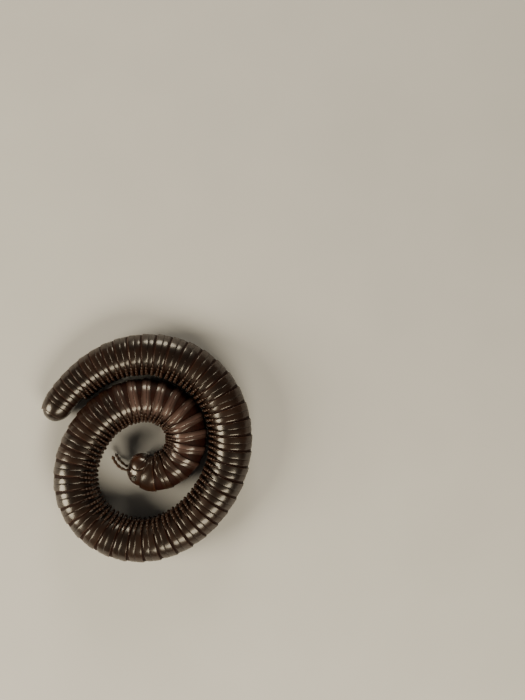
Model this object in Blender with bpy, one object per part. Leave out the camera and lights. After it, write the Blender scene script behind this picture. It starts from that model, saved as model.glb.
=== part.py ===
"""A giant African millipede at rest, coiled flat on its left side with its head in the middle.

The body is a chain of rings along a spiral, each turned a little from the one before.
The belly and the legs face into the coil, and the back faces out of it.
Metres, +Z up. The coil lies on z = 0 and is centred on the origin.

Local axes along the body: +X towards the tail, +Y towards the belly, +Z towards the right flank.
An angle round the body is counted from the belly: 90 is the right flank, 180 the back.
"""

import math

import bmesh
import bpy
from mathutils import Matrix, Vector

MM = 0.001

# The chain of rings. Ring 0 is the collum, the shield behind the head.
RING_COUNT = 58
RING_LENGTHS_MM = ((0, 3.25), (14, 3.35), (22, 3.85), (44, 3.85), (58, 2.9))
RING_RADII_MM = ((0, 5.3), (3, 5.3), (9, 5.8), (46, 5.8), (58, 4.4))
RING_BENDS_DEG = (
    (0, 19.5),
    (8, 18.0),
    (12, 11.0),
    (17, 7.5),
    (22, 13.0),
    (28, 11.0),
    (34, 6.4),
    (42, 9.7),
    (50, 7.9),
    (58, 3.0),
)
FIRST_HEADING_DEG = -14.8
STEPS_PER_RING = 8
RINGS_PER_LENGTH = (3, 3, 3, 4, 5, 4, 5, 5, 6, 6, 6, 7)

# The outline of one ring. Twelve flats follow its circle, with one flat on the floor.
SIDES = 12
CORNER_OVER_RADIUS = 1.017
FLAT_OVER_RADIUS = CORNER_OVER_RADIUS * math.cos(math.pi / SIDES)
BELLY_OVER_RADIUS = 0.93
FRONT_BAND_RADIUS = 0.955
FRONT_BAND_LENGTH = 0.44
COLLUM_FRONT_RADIUS = 0.85
COLLUM_SWELL_RADIUS = 0.98
COLLUM_SWELL_AT = 0.4

# Legs: one pair on rings 1 to 3, two pairs on the rings after them, none on the last two.
FIRST_LEG_RING = 1
FIRST_DOUBLE_RING = 4
LAST_LEG_RING = RING_COUNT - 3
SINGLE_LEG_AT = (0.7,)
DOUBLE_LEGS_AT = (0.22, 0.72)
LEG_ROOT = (27, 0.75, 0.0)  # degrees round the body, part of the radius, and mm added to it
LEG_KNEE = (36, 1.0, 1.0)
LEG_TIP = (54, 1.0, 0.4)
LEG_RADIUS = 0.38 * MM
LEG_SIDES = 3

# Gaps between neighbours.
LENGTH_GAP = 0.3 * MM
SOCKET_GAP = 0.15 * MM

# The head, from the front of the collum. Half sizes are along, belly to back, and across.
HEAD_HALF_SIZES = Vector((4.5, 4.55, 4.25)) * MM
HEAD_CENTRE = Vector((-0.2, 0.3, 0.0)) * MM
CHEEK_HALF_SIZES = Vector((2.3, 2.6, 1.5)) * MM
CHEEK_CENTRE = Vector((-2.0, 2.2, 2.5)) * MM
LIP_HALF_SIZES = Vector((1.3, 1.2, 2.1)) * MM
LIP_CENTRE = Vector((-3.1, 3.4, 0.0)) * MM
HEAD_MERIDIANS = 12
HEAD_PARALLELS = 8
CHEEK_MERIDIANS = 8
CHEEK_PARALLELS = 5

# Eyes: an oval patch of small lenses on each side of the crown.
EYE_HALF_SIZES = Vector((0.95, 0.6, 0.42)) * MM
EYE_DIRECTION = Vector((-0.42, -0.55, 0.72)).normalized()
EYE_SUNK = 0.12 * MM
EYE_MERIDIANS = 8
EYE_PARALLELS = 5

# Antennae: each leaves a pit beside the face and bends forwards and down.
ANTENNA_DIRECTION = Vector((-0.80, -0.12, 0.59)).normalized()
ANTENNA_PIT_RADIUS = 0.62 * MM
PIT_MERIDIANS = 6
PIT_PARALLELS = 4
ANTENNA_STEPS = (
    Vector((-0.9, -0.15, 0.75)) * MM,
    Vector((-1.25, 0.2, 0.4)) * MM,
    Vector((-1.3, 0.65, 0.05)) * MM,
    Vector((-1.1, 0.85, -0.25)) * MM,
    Vector((-0.8, 0.85, -0.35)) * MM,
)
ANTENNA_RADII = (0.28 * MM, 0.34 * MM, 0.36 * MM, 0.38 * MM, 0.38 * MM, 0.27 * MM)
ANTENNA_SIDES = 6

# The tail end, from the last ring: the preanal ring, its point, and two valves.
TAIL_RING_PROFILE = ((0.0, 0.95), (1.5, 0.92), (2.9, 0.76))
TAIL_POINT_LENGTH = 2.6 * MM
TAIL_POINT_RADIUS = 1.0 * MM
TAIL_POINT_MIDDLE = Vector((1.75, -3.1, 0.0)) * MM
TAIL_POINT_END = TAIL_POINT_MIDDLE + Vector((TAIL_POINT_LENGTH, -TAIL_POINT_RADIUS / 2, 0.0)) / 2
TAIL_POINT_SIDES = 8
VALVE_HALF_SIZES = Vector((2.5, 3.15, 3.1)) * MM
VALVE_CENTRE_AT = 2.6 * MM
VALVE_START_AT = 3.2 * MM
VALVE_MERIDIANS = 12
VALVE_PARALLELS = 8

# Finishes: base colour, roughness.
FINISHES = {
    "shell": ((0.035, 0.020, 0.016, 1.0), 0.28),
    "head_shell": ((0.045, 0.024, 0.018, 1.0), 0.25),
    "eye": ((0.010, 0.009, 0.009, 1.0), 0.12),
    "limb": ((0.085, 0.035, 0.024, 1.0), 0.38),
}
SHARP_ANGLE_DEG = 40


def clear_scene():
    for old in list(bpy.data.objects):
        bpy.data.objects.remove(old)


def new_collection(name):
    collection = bpy.data.collections.new(name)
    bpy.context.scene.collection.children.link(collection)
    return collection


def finish(name):
    colour, roughness = FINISHES[name]
    material = bpy.data.materials.new(name)
    material.use_nodes = True
    shader = material.node_tree.nodes["Principled BSDF"]
    shader.inputs["Base Color"].default_value = colour
    shader.inputs["Roughness"].default_value = roughness
    shader.inputs["Metallic"].default_value = 0.0
    return material


def along(table, ring):
    """The value of a (ring, value) table at any place along the chain."""
    ring = min(max(ring, table[0][0]), table[-1][0])
    for (first, low), (last, high) in zip(table, table[1:]):
        if ring <= last:
            return low + (high - low) * (ring - first) / (last - first)
    return table[-1][1]


def radius_at(ring):
    return along(RING_RADII_MM, ring) * MM


def walk_the_coil():
    """Places and headings along the middle of the body, from the head outwards."""
    step = 1 / STEPS_PER_RING
    heading = math.radians(FIRST_HEADING_DEG)
    place = Vector((0.0, 0.0, 0.0))
    stations = [(place, heading)]
    for number in range(RING_COUNT * STEPS_PER_RING):
        ring = (number + 0.5) * step
        turn = math.radians(along(RING_BENDS_DEG, ring)) * step
        length = along(RING_LENGTHS_MM, ring) * MM * step
        middle = heading + turn / 2
        place = place + Vector((math.cos(middle), math.sin(middle), 0.0)) * length
        heading += turn
        stations.append((place, heading))
    return stations


def coil_centre(stations):
    """The middle of the coil's outline, seen from above, out to the point of the tail."""
    reach = [coil_frame(stations, RING_COUNT, LENGTH_GAP) @ TAIL_POINT_END]
    for number, (place, heading) in enumerate(stations):
        radius = radius_at(number / STEPS_PER_RING) * FLAT_OVER_RADIUS
        outwards = Vector((math.sin(heading), -math.cos(heading), 0.0))
        reach.append(place + outwards * radius)
    middle_x = (min(p.x for p in reach) + max(p.x for p in reach)) / 2
    middle_y = (min(p.y for p in reach) + max(p.y for p in reach)) / 2
    return Vector((middle_x, middle_y, 0.0))


def coil_frame(stations, ring, ahead=0.0):
    """Local axes at a place along the chain, moved ahead along the body."""
    at = ring * STEPS_PER_RING
    before = min(int(at), len(stations) - 2)
    (place, heading), (next_place, next_heading) = stations[before : before + 2]
    part = at - before
    place = place.lerp(next_place, part)
    heading += (next_heading - heading) * part
    height = radius_at(ring) * FLAT_OVER_RADIUS
    lifted = Matrix.Translation((place.x, place.y, height))
    return lifted @ Matrix.Rotation(heading, 4, "Z") @ Matrix.Translation((ahead, 0.0, 0.0))


def round_point(angle_deg, radius):
    angle = math.radians(angle_deg)
    return Vector((0.0, math.cos(angle) * radius, math.sin(angle) * radius))


def girdle(frame, radius):
    """The twelve corners of the body's outline across one place, flattened at the belly."""
    corners = []
    for side in range(SIDES):
        corner = round_point(360 / SIDES * (side + 0.5), radius * CORNER_OVER_RADIUS)
        corner.y = min(corner.y, radius * BELLY_OVER_RADIUS)
        corners.append(frame @ corner)
    return corners


def loft(shape, loops):
    """Skin a row of loops with equal numbers of points, and close both ends."""
    rows = [[shape.verts.new(point) for point in loop] for loop in loops]
    for row, following in zip(rows, rows[1:]):
        for side in range(len(row)):
            after = (side + 1) % len(row)
            shape.faces.new((row[side], following[side], following[after], row[after]))
    shape.faces.new(rows[0])
    shape.faces.new(reversed(rows[-1]))


def limb(shape, points, radii, sides, across):
    """A closed jointed limb in a plane square to the direction across. One edge faces outwards."""
    loops = []
    for number, (point, radius) in enumerate(zip(points, radii)):
        behind = points[max(number - 1, 0)]
        ahead = points[min(number + 1, len(points) - 1)]
        forward = (ahead - behind).normalized()
        up = forward.cross(across).normalized()
        side_on = up.cross(forward)
        loop = []
        for side in range(sides):
            angle = math.tau * side / sides
            offset = up * math.cos(angle) + side_on * math.sin(angle)
            loop.append(point + offset * radius)
        loops.append(loop)
    loft(shape, loops)


def make_object(name, shape, collection, material=None):
    bmesh.ops.recalc_face_normals(shape, faces=shape.faces)
    mesh = bpy.data.meshes.new(name)
    shape.to_mesh(mesh)
    shape.free()
    mesh.shade_smooth()
    mesh.set_sharp_from_angle(angle=math.radians(SHARP_ANGLE_DEG))
    if material:
        mesh.materials.append(material)
    made = bpy.data.objects.new(name, mesh)
    collection.objects.link(made)
    return made


def ball(half_sizes, centre, meridians, parallels):
    """A bmesh of a sphere, stretched to its half sizes along the body's axes."""
    shape = bmesh.new()
    bmesh.ops.create_uvsphere(shape, u_segments=meridians, v_segments=parallels, radius=1.0)
    bmesh.ops.scale(shape, vec=half_sizes, verts=shape.verts)
    bmesh.ops.translate(shape, vec=centre, verts=shape.verts)
    return shape


def keep_side(shape, point, direction):
    """Cut a closed shape with a plane, keep what the direction points to, and close the cut."""
    whole = shape.verts[:] + shape.edges[:] + shape.faces[:]
    cut = bmesh.ops.bisect_plane(
        shape, geom=whole, plane_co=point, plane_no=direction, clear_inner=True
    )
    edges = [piece for piece in cut["geom_cut"] if isinstance(piece, bmesh.types.BMEdge)]
    bmesh.ops.holes_fill(shape, edges=edges, sides=0)


def helper(name, shape, cutters):
    made = make_object(name, shape, cutters)
    made.hide_render = True
    made.display_type = "WIRE"
    return made


def combine(target, other, operation):
    joined = target.modifiers.new(other.name, "BOOLEAN")
    joined.object = other
    joined.operation = operation
    joined.solver = "EXACT"


def ring_loops(stations, ring, first_in_length):
    """Front band, step up to the main band, and hind margin of one ring."""
    gap = LENGTH_GAP if first_in_length else 0.0
    front_at, band_at, hind_at = ring, ring + FRONT_BAND_LENGTH, ring + 1
    return [
        girdle(coil_frame(stations, front_at, gap), radius_at(front_at) * FRONT_BAND_RADIUS),
        girdle(coil_frame(stations, band_at), radius_at(band_at)),
        girdle(coil_frame(stations, hind_at), radius_at(hind_at)),
    ]


def add_leg(shape, frame, radius, flank):
    """One folded leg: out of the belly, over a knee, and back against the flank."""
    points = []
    for angle_deg, part, added_mm in (LEG_ROOT, LEG_KNEE, LEG_TIP):
        points.append(frame @ round_point(angle_deg * flank, radius * part + added_mm * MM))
    across = frame.to_3x3() @ Vector((flank, 0.0, 0.0))
    limb(shape, points, (LEG_RADIUS, LEG_RADIUS, LEG_RADIUS), LEG_SIDES, across)


def legs_of(stations, first, last):
    """All legs of the rings from first up to, but not with, last, as one helper shape."""
    shape = bmesh.new()
    for ring in range(max(first, FIRST_LEG_RING), min(last, LAST_LEG_RING + 1)):
        places = SINGLE_LEG_AT if ring < FIRST_DOUBLE_RING else DOUBLE_LEGS_AT
        for place in places:
            frame = coil_frame(stations, ring + place)
            for flank in (1, -1):
                add_leg(shape, frame, radius_at(ring + place), flank)
    return shape


def make_trunk(stations, parts, cutters, shell):
    first = 1
    for number, count in enumerate(RINGS_PER_LENGTH, start=1):
        last = first + count
        shape = bmesh.new()
        loops = []
        for ring in range(first, last):
            loops += ring_loops(stations, ring, ring == first)
        loft(shape, loops)
        trunk = make_object(f"trunk_{number:02d}", shape, parts, shell)
        legs = helper(f"legs_{number:02d}", legs_of(stations, first, last), cutters)
        combine(trunk, legs, "UNION")
        first = last


def make_collum(stations, parts, shell):
    shape = bmesh.new()
    profile = ((0.0, COLLUM_FRONT_RADIUS), (COLLUM_SWELL_AT, COLLUM_SWELL_RADIUS), (1.0, 1.0))
    loft(shape, [girdle(coil_frame(stations, at), radius_at(at) * size) for at, size in profile])
    make_object("collum", shape, parts, shell)


def head_surface(direction):
    """The point of the head's surface in a direction from its centre."""
    reach = Vector(d * h for d, h in zip(direction, HEAD_HALF_SIZES))
    return HEAD_CENTRE + reach


def mirrored(vector, flank):
    return Vector((vector.x, vector.y, vector.z * flank))


def eye_shape(flank, grow):
    """The eye patch, lying on the head's surface."""
    direction = mirrored(EYE_DIRECTION, flank)
    outwards = Vector(d / h for d, h in zip(direction, HEAD_HALF_SIZES)).normalized()
    half_sizes = EYE_HALF_SIZES + Vector((grow, grow, grow))
    shape = ball(half_sizes, Vector(), EYE_MERIDIANS, EYE_PARALLELS)
    turned = outwards.to_track_quat("Z", "X").to_matrix()
    bmesh.ops.rotate(shape, matrix=turned, verts=shape.verts)
    centre = head_surface(direction) - outwards * EYE_SUNK
    bmesh.ops.translate(shape, vec=centre, verts=shape.verts)
    return shape


def make_head(stations, parts, cutters, head_shell):
    frame = coil_frame(stations, 0)
    back = Vector((-LENGTH_GAP, 0.0, 0.0))
    forwards = Vector((-1.0, 0.0, 0.0))
    shape = ball(HEAD_HALF_SIZES, HEAD_CENTRE, HEAD_MERIDIANS, HEAD_PARALLELS)
    keep_side(shape, back, forwards)
    head = make_object("head", shape, parts, head_shell)
    head.matrix_world = frame
    added = [("lip", ball(LIP_HALF_SIZES, LIP_CENTRE, CHEEK_MERIDIANS, CHEEK_PARALLELS))]
    taken = []
    for side, flank in (("right", 1), ("left", -1)):
        centre = mirrored(CHEEK_CENTRE, flank)
        cheek = ball(CHEEK_HALF_SIZES, centre, CHEEK_MERIDIANS, CHEEK_PARALLELS)
        keep_side(cheek, back, forwards)
        added.append((f"cheek_{side}", cheek))
        pit_centre = head_surface(mirrored(ANTENNA_DIRECTION, flank))
        pit_sizes = Vector((1.0, 1.0, 1.0)) * ANTENNA_PIT_RADIUS
        pit = ball(pit_sizes, pit_centre, PIT_MERIDIANS, PIT_PARALLELS)
        taken.append((f"antenna_pit_{side}", pit))
        taken.append((f"eye_pit_{side}", eye_shape(flank, SOCKET_GAP)))
    for shapes, operation in ((added, "UNION"), (taken, "DIFFERENCE")):
        for name, other in shapes:
            tool = helper(name, other, cutters)
            tool.matrix_world = frame
            combine(head, tool, operation)


def make_eyes(stations, parts, eye):
    for side, flank in (("right", 1), ("left", -1)):
        made = make_object(f"eye_{side}", eye_shape(flank, 0.0), parts, eye)
        made.matrix_world = coil_frame(stations, 0)


def make_antennae(stations, parts, limb_finish):
    for side, flank in (("right", 1), ("left", -1)):
        points = [head_surface(mirrored(ANTENNA_DIRECTION, flank))]
        for step in ANTENNA_STEPS:
            points.append(points[-1] + mirrored(step, flank))
        shape = bmesh.new()
        limb(shape, points, ANTENNA_RADII, ANTENNA_SIDES, Vector((0.0, 1.0, 0.0)))
        made = make_object(f"antenna_{side}", shape, parts, limb_finish)
        made.matrix_world = coil_frame(stations, 0)


def make_tail(stations, parts, cutters, shell):
    frame = coil_frame(stations, RING_COUNT, LENGTH_GAP)
    radius = radius_at(RING_COUNT)
    shape = bmesh.new()
    loops = []
    for ahead, size in TAIL_RING_PROFILE:
        loops.append(girdle(frame @ Matrix.Translation((ahead * MM, 0.0, 0.0)), radius * size))
    loft(shape, loops)
    ring = make_object("tail_ring", shape, parts, shell)
    point = bmesh.new()
    bmesh.ops.create_cone(
        point,
        cap_ends=True,
        segments=TAIL_POINT_SIDES,
        radius1=TAIL_POINT_RADIUS,
        radius2=TAIL_POINT_RADIUS / 4,
        depth=TAIL_POINT_LENGTH,
    )
    tool = helper("tail_point", point, cutters)
    tilt = Matrix.Rotation(math.radians(90), 4, "Y")
    tool.matrix_world = frame @ Matrix.Translation(TAIL_POINT_MIDDLE) @ tilt
    combine(ring, tool, "UNION")
    for side, flank in (("right", 1), ("left", -1)):
        centre = Vector((VALVE_CENTRE_AT, 0.0, 0.0))
        valve = ball(VALVE_HALF_SIZES, centre, VALVE_MERIDIANS, VALVE_PARALLELS)
        keep_side(valve, Vector((VALVE_START_AT, 0.0, 0.0)), Vector((1.0, 0.0, 0.0)))
        half_gap = Vector((0.0, 0.0, LENGTH_GAP / 2 * flank))
        keep_side(valve, half_gap, Vector((0.0, 0.0, flank)))
        made = make_object(f"tail_valve_{side}", valve, parts, shell)
        made.matrix_world = frame


def main():
    clear_scene()
    parts = new_collection("giant_african_millipede")
    cutters = new_collection("helpers")
    finishes = {name: finish(name) for name in FINISHES}
    stations = walk_the_coil()
    centre = coil_centre(stations)
    stations = [(place - centre, heading) for place, heading in stations]
    make_head(stations, parts, cutters, finishes["head_shell"])
    make_eyes(stations, parts, finishes["eye"])
    make_antennae(stations, parts, finishes["limb"])
    make_collum(stations, parts, finishes["shell"])
    make_trunk(stations, parts, cutters, finishes["shell"])
    make_tail(stations, parts, cutters, finishes["shell"])


main()
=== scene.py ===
"""A giant African millipede, life size, coiled flat on its left side with its head in the middle.

The body is made straight and then laid along its coil. The straight body counts rings along
+X, and its radius is 1. Angles round the body start at the belly: 90 degrees is the right
flank, which is the top of the coil, 180 the back, and -90 the left flank, on the floor.
The head and the tail are made in millimetres, on axes of their own at their ends of the body:
+X towards the tail, +Y belly, +Z right flank.
"""

import math
import random

import bmesh
import bpy
from mathutils import Matrix, Vector


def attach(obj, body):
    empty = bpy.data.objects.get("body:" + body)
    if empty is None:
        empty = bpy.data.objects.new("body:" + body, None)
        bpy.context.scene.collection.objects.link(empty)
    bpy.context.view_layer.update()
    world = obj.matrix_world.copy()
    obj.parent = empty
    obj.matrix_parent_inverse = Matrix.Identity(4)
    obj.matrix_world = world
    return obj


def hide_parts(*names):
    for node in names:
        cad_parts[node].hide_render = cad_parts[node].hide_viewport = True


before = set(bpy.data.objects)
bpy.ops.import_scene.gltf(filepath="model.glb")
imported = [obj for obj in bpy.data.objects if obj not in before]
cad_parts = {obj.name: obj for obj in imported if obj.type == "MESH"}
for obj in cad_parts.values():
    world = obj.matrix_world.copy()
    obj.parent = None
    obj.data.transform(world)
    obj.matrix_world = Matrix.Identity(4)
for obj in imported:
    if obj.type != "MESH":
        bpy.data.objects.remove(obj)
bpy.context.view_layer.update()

MM = 0.001
BODY = "root"
FLANKS = (("right", 1), ("left", -1))

# The chain of rings, as in the solids. Ring 0 is the collum, the shield behind the head.
RING_COUNT = 58
RING_LENGTHS_MM = ((0, 3.25), (14, 3.35), (22, 3.85), (44, 3.85), (58, 2.9))
RING_RADII_MM = ((0, 5.3), (3, 5.3), (9, 5.8), (46, 5.8), (58, 4.4))
RING_BENDS_DEG = (
    (0, 19.5), (8, 18.0), (12, 11.0), (17, 7.5), (22, 13.0),
    (28, 11.0), (34, 6.4), (42, 9.7), (50, 7.9), (58, 3.0),
)
FIRST_PLACE_MM = (-0.850, -6.690)
FIRST_HEADING_DEG = -14.8
STEPS_PER_RING = 8
RINGS_PER_LENGTH = (3, 3, 3, 4, 5, 4, 5, 5, 6, 6, 6, 7)
FULL_RADIUS_MM = 5.8

# One ring: a sunk dull collar, a low glossy band, a suture, and a high glossy band with a
# rounded hind lip. Places are parts of the ring's length, sizes parts of the body's radius.
SIDES_ROUND = 144
COLLAR_END = 0.33
SUTURE_AT = 0.64
GLOSSY_MM = ((0, 2.4), (13, 2.55), (22, 3.9), (46, 3.9), (58, 2.9))
GLOSSY_MOST = 0.87
COLLAR_SIZES = (0.950, 0.953)
COLLAR_MOST = COLLAR_SIZES[1] + 0.004
SHOULDER_LENGTH = 0.06
LOW_SIZES = (0.970, 0.978)
HIGH_SIZES = (0.983, 1.0)
BAND_SWELL = 0.0045
SUTURE_LENGTH = 0.05
SUTURE_SIZE = 0.968
LIP_LENGTH = 0.014
LIP_SIZE = 0.013
LIP_UNDER_AT = 0.965
LIP_GAP = 0.006
TUCK = 0.025
END_GAP = 0.001
COLLAR_STEPS = 5
SHOULDER_STEPS = 4
BAND_STEPS = 7
SUTURE_STEPS = 6
LIP_STEPS = 6
BELLY_FLAT_FROM = 0.86
BELLY_FLAT_TO = 0.935
# Wide enough for the poles to merge at ring 58, where a 32-bit place is true to about 4e-6.
RING_MERGE = 1e-4

# Small differences from ring to ring.
SEED = 11
SIZE_SPREAD = 0.009
TILT_SPREAD = 0.022

# Legs: one pair on rings 1 to 3, two pairs on the rings after them, none on the last two.
FIRST_DOUBLE_RING = 4
LAST_LEG_RING = RING_COUNT - 3
SINGLE_LEG_AT = (0.7,)
DOUBLE_LEGS_AT = (0.22, 0.72)
LEG_SIDES = 8
# Each joint of a leg: degrees round the body, and mm out from the body's surface.
LEG_JOINTS = (
    (8, -0.7), (13, 0.25), (22, 0.72), (34, 0.78), (42.5, 0.62), (50.5, 0.42), (60.5, 0.2)
)
LEG_RADII_MM = (0.48, 0.46, 0.42, 0.38, 0.32, 0.17)
LEG_ROOM_TAKEN = 0.46
# How far the middle of a leg lies towards the head, and small differences from leg to leg.
LEG_SWEPT_MM = 0.25
LEG_SWEEPS_MM = (-0.15, 0.25)
LEG_LEANS_DEG = (-2.0, 2.0)
LEG_LIFTS_MM = (-0.10, 0.16)
# Under 1, so that the end of one joint isn't taken for the start of the next.
JOINT_SHARE = 0.98
CLAW_END = (63.5, 0.05)
CLAW_RADIUS_MM = 0.09
CLAW_SIDES = 4
BELLY_PLATE_MM = (0.44, 0.34, 1.25)
BELLY_PLATE_AT = 0.90
ARTICLE_PROFILE = ((0.0, 0.0), (0.02, 0.8), (0.55, 1.0), (0.92, 0.97), (1.0, 0.8), (1.0, 0.0))
CLAW_PROFILE = ((0.0, 0.0), (0.02, 0.7), (0.5, 1.0), (0.9, 0.5), (1.0, 0.0))

# Gland openings: one on each flank, just behind the suture.
FIRST_PORE_RING = 5
PORE_ANGLE_DEG = 96
PORE_RISE = 0.002
PORE_SIDES = 10
WELL_OUTSIDE = 2.0
PORE_PROFILE_MM = (
    (-0.06, 0.0), (-0.06, 0.15), (0.03, 0.14), (0.045, 0.105),
    (0.02, 0.07), (-0.04, 0.05), (-0.04, 0.0),
)


def ease(value):
    """A smooth rise from 0 to 1."""
    value = min(max(value, 0.0), 1.0)
    return value * value * (3 - 2 * value)


def fade(value, start, over):
    """A smooth rise from 0 at a start to 1 at a distance from it, which may be negative."""
    return ease((value - start) / over)


def bell(distance, width):
    """1 at no distance, falling smoothly to 0."""
    return math.exp(-((distance / width) ** 2))


def relief(amount, away):
    """How deep a groove, or how high a rim, of some (size, width) is, away from its middle."""
    size, width = amount
    return size * bell(away, width)


# ---- the body's line


def along(table, ring):
    """The value of a (ring, value) table at any place along the chain."""
    ring = min(max(ring, table[0][0]), table[-1][0])
    for (first, low), (last, high) in zip(table, table[1:]):
        if ring <= last:
            return low + (high - low) * (ring - first) / (last - first)


def radius_at(ring):
    """The body's radius at a place along the chain, in metres."""
    return along(RING_RADII_MM, ring) * MM


def walk_the_coil():
    """Places and headings along the middle of the body, from the head outwards."""
    step = 1 / STEPS_PER_RING
    heading = math.radians(FIRST_HEADING_DEG)
    place = Vector(FIRST_PLACE_MM) * MM
    stations = [(place, heading)]
    for number in range(RING_COUNT * STEPS_PER_RING):
        ring = (number + 0.5) * step
        turn = math.radians(along(RING_BENDS_DEG, ring)) * step
        length = along(RING_LENGTHS_MM, ring) * MM * step
        middle = heading + turn / 2
        place = place + Vector((math.cos(middle), math.sin(middle))) * length
        heading += turn
        stations.append((place, heading))
    return stations


COIL = walk_the_coil()


def coil_line(ring):
    """The place and heading of the body's middle line, seen from above."""
    at = ring * STEPS_PER_RING
    before = min(max(int(at), 0), len(COIL) - 2)
    (place, heading), (next_place, next_heading) = COIL[before : before + 2]
    part = at - before
    return place.lerp(next_place, part), heading + (next_heading - heading) * part


def coil_point(ring, across, up):
    """A world point at a place along the body, across it towards the belly, and up."""
    place, heading = coil_line(ring)
    x = place.x - math.sin(heading) * across
    y = place.y + math.cos(heading) * across
    return Vector((x, y, radius_at(ring) + up))


def coil_axes(ring):
    """Local axes at a place along the body, in metres."""
    place, heading = coil_line(ring)
    lifted = Matrix.Translation((place.x, place.y, radius_at(ring)))
    return lifted @ Matrix.Rotation(heading, 4, "Z")


def move(shape, matrix):
    """Moves a whole shape."""
    bmesh.ops.transform(shape, matrix=matrix, verts=shape.verts)


def to_coil(shape, ring):
    """Moves a shape from axes of its own, in mm, to its place on the coil."""
    move(shape, coil_axes(ring) @ Matrix.Diagonal((MM, MM, MM, 1.0)))


def pointed(place, direction, axis="X"):
    """Axes at a place, with one of them along a direction."""
    turn = direction.to_track_quat(axis, "Z" if axis == "X" else "X")
    return Matrix.Translation(place) @ turn.to_matrix().to_4x4()


def collar_share(ring, angle):
    """The collar's part of a ring: glossy bands keep their length, and collars telescope."""
    pitch = along(RING_LENGTHS_MM, ring)
    bend = math.radians(along(RING_BENDS_DEG, ring))
    radius = along(RING_RADII_MM, ring)
    here = pitch - bend * radius * math.cos(angle)
    return 1 - min(along(GLOSSY_MM, ring) / here, GLOSSY_MOST)


def flat_belly(across):
    """Presses the belly a little flat."""
    if across < BELLY_FLAT_FROM:
        return across
    room = BELLY_FLAT_TO - BELLY_FLAT_FROM
    return BELLY_FLAT_FROM + room * (1 - math.exp((BELLY_FLAT_FROM - across) / room))


def ring_differences():
    """A size and a tilt for each ring, just under 1 and near 0."""
    rng = random.Random(SEED)
    sizes = [1 - rng.random() * SIZE_SPREAD for _ in range(RING_COUNT + 2)]
    tilts = [rng.uniform(-1, 1) * TILT_SPREAD for _ in range(RING_COUNT + 2)]
    return sizes, tilts


RING_SIZES, RING_TILTS = ring_differences()


def body_point(place, angle, size):
    """The world point for a place on the straight body, its angle round it and its size."""
    ring = math.floor(place)
    share = place - ring
    collar = collar_share(place, angle)
    if share < COLLAR_END:
        share *= collar / COLLAR_END
    else:
        share = 1 - (1 - share) * (1 - collar) / (1 - COLLAR_END)
    share += RING_TILTS[ring] * math.cos(angle - ring)
    radius = radius_at(ring + share) * RING_SIZES[ring]
    across = flat_belly(size * math.cos(angle))
    up = size * math.sin(angle)
    return coil_point(ring + share, across * radius, up * radius)


def girth_layer(shape):
    """The attribute that the finishes read: on the shell, a ring place, a girth and a size."""
    return shape.verts.layers.float_vector.new("girth")


def lay_on_coil(shape):
    """Bends a straight body onto the coil, and notes each vertex's ring place and girth."""
    girth = girth_layer(shape)
    for vertex in shape.verts:
        place, across, up = vertex.co
        size = math.hypot(across, up)
        angle = math.atan2(up, across)
        vertex[girth] = (place, abs(angle) / math.pi, size)
        vertex.co = body_point(place, angle, size)


# ---- making meshes and pieces


def face_outwards(shape):
    """Points the faces of one closed shape outwards, which its volume confirms."""
    bmesh.ops.recalc_face_normals(shape, faces=shape.faces)
    if shape.calc_volume(signed=True) < 0:
        bmesh.ops.reverse_faces(shape, faces=shape.faces)


def turned(points, sides, start=0.0, sweep=math.tau, merge=1e-6):
    """Spins a profile of (along, out) points about the X axis, and merges what meets."""
    shape = bmesh.new()
    across, up = math.cos(start), math.sin(start)
    verts = [shape.verts.new((place, out * across, out * up)) for place, out in points]
    edges = [shape.edges.new(pair) for pair in zip(verts, verts[1:])]
    whole = sweep == math.tau
    turn = {"cent": (0, 0, 0), "axis": (1, 0, 0), "dvec": (0, 0, 0), "angle": sweep}
    ends = {"use_merge": whole, "use_duplicate": False}
    bmesh.ops.spin(shape, geom=verts + edges, steps=sides, **turn, **ends)
    bmesh.ops.remove_doubles(shape, verts=shape.verts, dist=merge)
    face_outwards(shape)
    return shape


def rounded_ball(half_sizes, centre, subdivisions):
    """A ball of even triangles, stretched to its half sizes."""
    shape = bmesh.new()
    bmesh.ops.create_icosphere(shape, subdivisions=subdivisions, radius=1.0)
    bmesh.ops.scale(shape, vec=half_sizes, verts=shape.verts)
    bmesh.ops.translate(shape, vec=centre, verts=shape.verts)
    return shape


def add_shape(whole, part):
    """Adds one bmesh to another, and frees it."""
    mesh = bpy.data.meshes.new("part")
    part.to_mesh(mesh)
    part.free()
    whole.from_mesh(mesh)
    bpy.data.meshes.remove(mesh)


def make_piece(name, shape, finishes, slot, *nodes):
    """Turns a bmesh into a piece that stands for the named nodes of the frame."""
    mesh = bpy.data.meshes.new(name)
    shape.to_mesh(mesh)
    shape.free()
    mesh.shade_smooth()
    for finish in finishes:
        mesh.materials.append(finish)
    piece = bpy.data.objects.new(name, mesh)
    bpy.context.scene.collection.objects.link(piece)
    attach(piece, BODY)
    if nodes:
        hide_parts(*nodes)


# ---- shader nodes


def operator(operation, reflected=False):
    """A method of Socket that adds a Math node."""

    def method(socket, *others):
        values = (*others, socket) if reflected else (socket, *others)
        return socket.finish.node("Math", {"operation": operation}, dict(enumerate(values)))

    return method


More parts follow.
